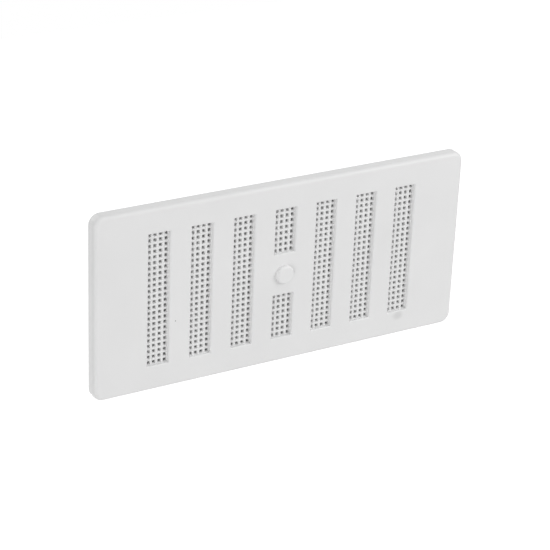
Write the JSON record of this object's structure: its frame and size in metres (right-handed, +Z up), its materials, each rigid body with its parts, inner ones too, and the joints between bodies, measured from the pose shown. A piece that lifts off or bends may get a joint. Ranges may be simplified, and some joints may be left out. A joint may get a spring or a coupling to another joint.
{
  "type": "hit and miss vent",
  "caption": "Rectangular wall vent: a slotted cover with moulded flyscreens slides over a fixed slotted back plate to open and shut, moved by a central knob.",
  "frame": {"origin": "middle of the closed vent, which is the middle of its box: on the knob's axis, half way from the wall to the knob's front", "axes": "+Z up the wall, +Y into the wall so the face looks along -Y, +X along the length, the way the cover slides to open"},
  "size_m": [0.2514, 0.0104, 0.1176],
  "materials": {
    "cover_plastic": "satin moulded white",
    "knob_plastic": "satin moulded white",
    "plate_plastic": "satin moulded white",
    "spring_steel": "bright zinc-plated spring steel"
  },
  "bodies": {
    "wall_plate": {"back_plate": "plate_plastic"},
    "cover": {"front_cover": "cover_plastic", "knob": "knob_plastic", "retaining_washer": "spring_steel"}
  },
  "joints": [
    {"name": "cover_slide", "type": "slide", "parent": "wall_plate", "child": "cover", "axis": [1, 0, 0], "range_m": [0, 0.014]}
  ]
}
